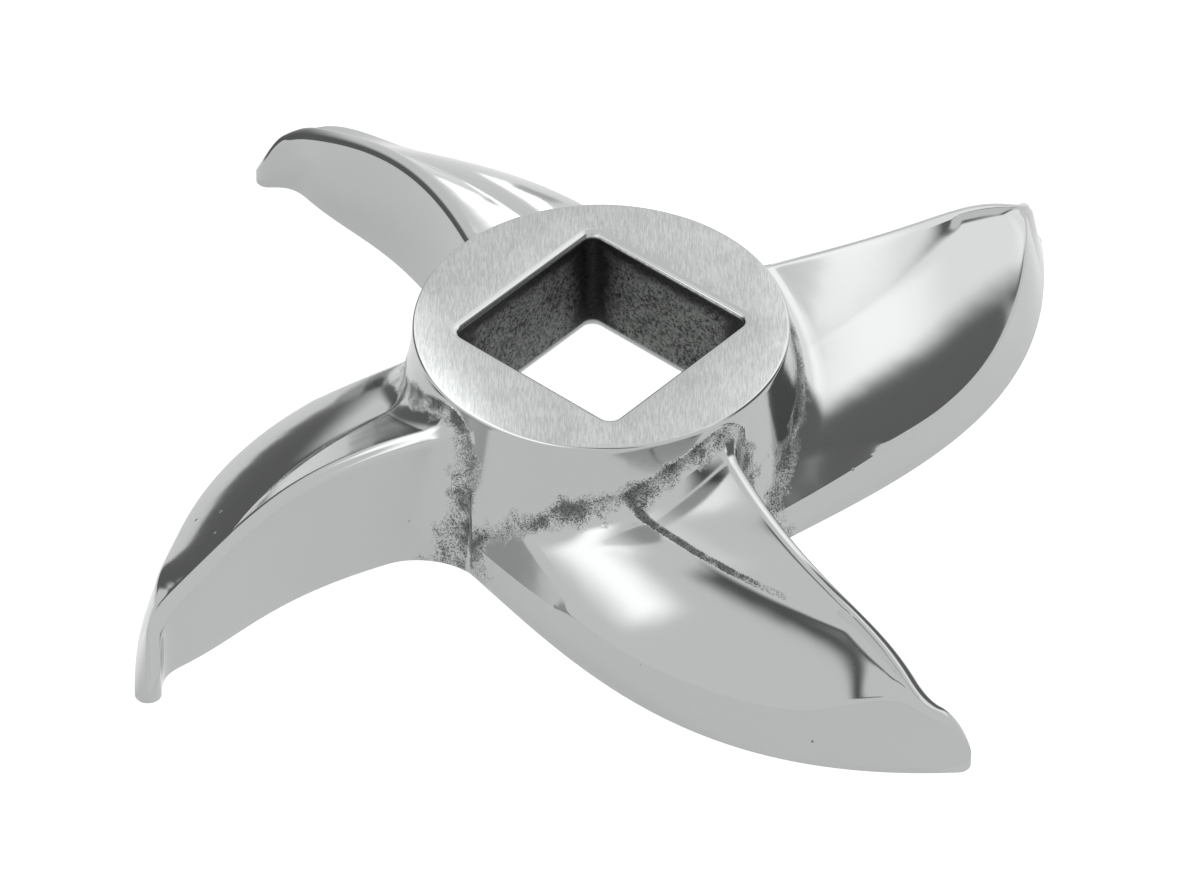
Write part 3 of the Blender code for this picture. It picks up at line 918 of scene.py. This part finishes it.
def add_softbox(context, name, azimuth, elevation, width, height, brightness, mirrored):
    """A large lamp that faces the hub."""
    lamp = area_lamp(name, spread(LAMP_DISTANCE, width), spread(LAMP_DISTANCE, height), brightness)
    lamp.location = from_view(azimuth, elevation, LAMP_DISTANCE, context.scene.knife_shape)
    lamp.rotation_mode = "QUATERNION"
    lamp.rotation_quaternion = lamp.location.to_track_quat("Z", "Y")
    lamp.visible_glossy = mirrored
    context.scene.collection.objects.link(lamp)


def soft_border(tree, place, middle, spans, soft):
    """1 inside a rectangle, going to 0 over its soft border."""
    axes = add_node(tree, "ShaderNodeSeparateXYZ", Vector=place).outputs
    cover = 1.0
    for axis, span, edge in zip("XY", spans, soft):
        out = maths(tree, "ABSOLUTE", maths(tree, "SUBTRACT", axes[axis], middle))
        cover = maths(tree, "MULTIPLY", ramp(tree, out, span / 2.0, span / 2.0 - edge), cover)
    return cover


def put_near(item, context, blade, view, offset, twist):
    """Sets a small lamp or flag close to a blade, seen from the middle of the blade's slope.

    The view is its azimuth and elevation in degrees and its distance in millimetres. The offset is how far
    right and up it is then moved, in millimetres, and the twist how far it is turned anticlockwise.
    """
    turn = context.scene.knife_shape.blade_turn
    azimuth, elevation, distance = view
    away = from_view(azimuth, elevation, 1.0, context.scene.knife_shape)
    facing = away.to_track_quat("Z", "Y")
    item.location = Matrix.Rotation(turn, 3, "Z") @ Vector(SLOPES[blade]) * MM + away * distance * MM
    item.location += facing @ Vector((-offset[0], offset[1], 0.0)) * MM
    item.rotation_mode = "QUATERNION"
    item.rotation_quaternion = facing @ Quaternion((0.0, 0.0, 1.0), math.radians(-twist))
    item.visible_camera = False
    item.visible_diffuse = False
    context.scene.collection.objects.link(item)


def add_small_lamp(context, name, blade, view, offset, twist, spans, soft, brightness):
    """A small soft-edged lamp that gives one highlight in the polish."""
    width, height = (span * MM for span in spans)
    lamp = area_lamp(name, width, height, brightness)
    lamp.data.use_nodes = True
    tree = lamp.data.node_tree
    place = add_node(tree, "ShaderNodeNewGeometry").outputs["Parametric"]
    cover = soft_border(tree, place, 0.5, (1.0, 1.0), [soft / span for span in spans])
    tree.links.new(cover, tree.nodes["Emission"].inputs["Strength"])
    put_near(lamp, context, blade, view, offset, twist)


def add_flag(context, name, blade, view, offset, twist, spans, soft, tone):
    """A dark soft-edged flag, as photographers set beside polished metal, that only the steel reflects."""
    width, height = (span * MM for span in spans)
    mesh = bmesh.new()
    grid = bmesh.ops.create_grid(mesh, x_segments=1, y_segments=1, size=0.5)["verts"]
    bmesh.ops.scale(mesh, vec=(width, height, 1.0), verts=grid)
    data = bpy.data.meshes.new(name)
    mesh.to_mesh(data)
    mesh.free()
    material = bpy.data.materials.new(name)
    material.use_nodes = True
    tree = material.node_tree
    tree.nodes.clear()
    place = add_node(tree, "ShaderNodeTexCoord").outputs["Object"]
    cover = soft_border(tree, place, 0.0, (width, height), (soft * MM, soft * MM))
    shade = (tone, tone, tone, 1.0)
    glow = add_node(tree, "ShaderNodeEmission", Color=shade, Strength=1.0).outputs["Emission"]
    clear = add_node(tree, "ShaderNodeBsdfTransparent").outputs["BSDF"]
    mixed = add_node(tree, "ShaderNodeMixShader", in0=cover, in1=clear, in2=glow).outputs["Shader"]
    add_node(tree, "ShaderNodeOutputMaterial", Surface=mixed)
    data.materials.append(material)
    flag = bpy.data.objects.new(name, data)
    put_near(flag, context, blade, view, offset, twist)
    flag.visible_shadow = False


def seen_directly(tree):
    """1 for what the camera, the steel or a clear thing sees, and 0 for the light on matt things."""
    path = add_node(tree, "ShaderNodeLightPath").outputs
    seen = maths(tree, "MAXIMUM", path["Is Camera Ray"], path["Is Glossy Ray"])
    return maths(tree, "MAXIMUM", seen, path["Is Transmission Ray"])


def floor_material(stage):
    """Matt white sheet, bright enough to read as paper white but dark enough to keep a soft shadow."""
    material = bpy.data.materials.new("matt_white_sheet")
    material.use_nodes = True
    tree = material.node_tree
    shader = tree.nodes["Principled BSDF"]
    shader.inputs["Base Color"].default_value = (*stage.floor, 1.0)
    shader.inputs["Roughness"].default_value = 0.9
    shader.inputs["Specular IOR Level"].default_value = 0.0
    shader.inputs["Emission Color"].default_value = (*stage.floor, 1.0)
    camera = add_node(tree, "ShaderNodeLightPath").outputs["Is Camera Ray"]
    glow = between(tree, camera, FLOOR_MIRRORED, FLOOR_SEEN)
    lift = maths(tree, "MULTIPLY", seen_directly(tree), glow)
    tree.links.new(lift, shader.inputs["Emission Strength"])
    return material


class GRINDER_OT_stage(bpy.types.Operator):
    """Builds the floor, the lamps, the flags and the camera"""

    bl_idname = "grinder.stage"
    bl_label = "Studio"

    def execute(self, context):
        stage = context.scene.knife_stage
        self.add_floor(context, stage)
        self.add_world(context)
        for row in SOFTBOXES:
            add_softbox(context, *row)
        for row in SMALL_LAMPS:
            add_small_lamp(context, *row)
        for row in FLAGS:
            add_flag(context, *row)
        self.add_camera(context, context.scene.knife_shape, stage)
        return {"FINISHED"}

    def add_floor(self, context, stage):
        mesh = bmesh.new()
        bmesh.ops.create_circle(mesh, cap_ends=True, segments=96, radius=FLOOR_RADIUS)
        bmesh.ops.recalc_face_normals(mesh, faces=mesh.faces)
        data = bpy.data.meshes.new("studio_floor")
        mesh.to_mesh(data)
        mesh.free()
        data.materials.append(floor_material(stage))
        floor = bpy.data.objects.new("studio_floor", data)
        floor.location.z = -FLOOR_GAP
        context.scene.collection.objects.link(floor)

    def add_world(self, context):
        world = bpy.data.worlds.new("studio")
        world.use_nodes = True
        tree = world.node_tree
        tree.nodes.clear()
        strength = between(tree, seen_directly(tree), WORLD_LIGHT, WORLD_SEEN)
        sky = add_node(tree, "ShaderNodeBackground", Color=(1.0, 1.0, 1.0, 1.0), Strength=strength)
        add_node(tree, "ShaderNodeOutputWorld", Surface=sky.outputs["Background"])
        context.scene.world = world

    def add_camera(self, context, size, stage):
        data = bpy.data.cameras.new("photo_view")
        data.sensor_width = 36.0
        pixels_away = stage.camera_distance * HUB_RADIUS_PIXELS / size.hub_radius
        data.lens = pixels_away * data.sensor_width / PHOTO_WIDTH_PIXELS
        data.clip_start = 0.01
        data.clip_end = 20.0
        spin = Matrix.Rotation(size.blade_turn, 3, "Z")
        level = stage.camera_height
        right = spin @ Vector((1.0, 0.0, 0.0))
        up = spin @ Vector((0.0, math.sin(level), math.cos(level)))
        back = spin @ Vector((0.0, -math.cos(level), math.sin(level)))
        aside = right * -HUB_RIGHT_PIXELS - up * HUB_ABOVE_PIXELS
        aim = Vector((0.0, 0.0, size.height)) + aside * size.hub_radius / HUB_RADIUS_PIXELS
        place = aim + back * stage.camera_distance
        lean = Matrix.Rotation(stage.camera_roll, 3, back)
        facing = lean @ Matrix((right, up, back)).transposed()
        camera = bpy.data.objects.new("photo_view", data)
        camera.matrix_world = Matrix.Translation(place) @ facing.to_4x4()
        context.scene.collection.objects.link(camera)
        context.scene.camera = camera
        context.scene.view_settings.view_transform = "Standard"


class GRINDER_PT_panel(bpy.types.Panel):
    """Lists the pieces of the knife and its studio"""

    bl_idname = "GRINDER_PT_panel"
    bl_label = "Grinder Knife"
    bl_space_type = "VIEW_3D"
    bl_region_type = "UI"
    bl_category = "Grinder Knife"

    def draw(self, context):
        column = self.layout.column(align=True)
        for operator in (GRINDER_OT_knife, GRINDER_OT_stage):
            column.operator(operator.bl_idname)
        for settings in (context.scene.knife_shape, context.scene.knife_finish, context.scene.knife_stage):
            box = self.layout.box()
            for name in settings.__annotations__:
                box.prop(settings, name)


CLASSES = (
    KnifeShapeSettings,
    KnifeFinishSettings,
    KnifeStageSettings,
    GRINDER_OT_knife,
    GRINDER_OT_stage,
    GRINDER_PT_panel,
)


def register():
    for item in CLASSES:
        bpy.utils.register_class(item)
    bpy.types.Scene.knife_shape = PointerProperty(type=KnifeShapeSettings)
    bpy.types.Scene.knife_finish = PointerProperty(type=KnifeFinishSettings)
    bpy.types.Scene.knife_stage = PointerProperty(type=KnifeStageSettings)


def unregister():
    del bpy.types.Scene.knife_stage
    del bpy.types.Scene.knife_finish
    del bpy.types.Scene.knife_shape
    for item in reversed(CLASSES):
        bpy.utils.unregister_class(item)


def main():
    register()
    bpy.ops.grinder.knife()
    bpy.ops.grinder.stage()


if __name__ == "__main__":
    main()
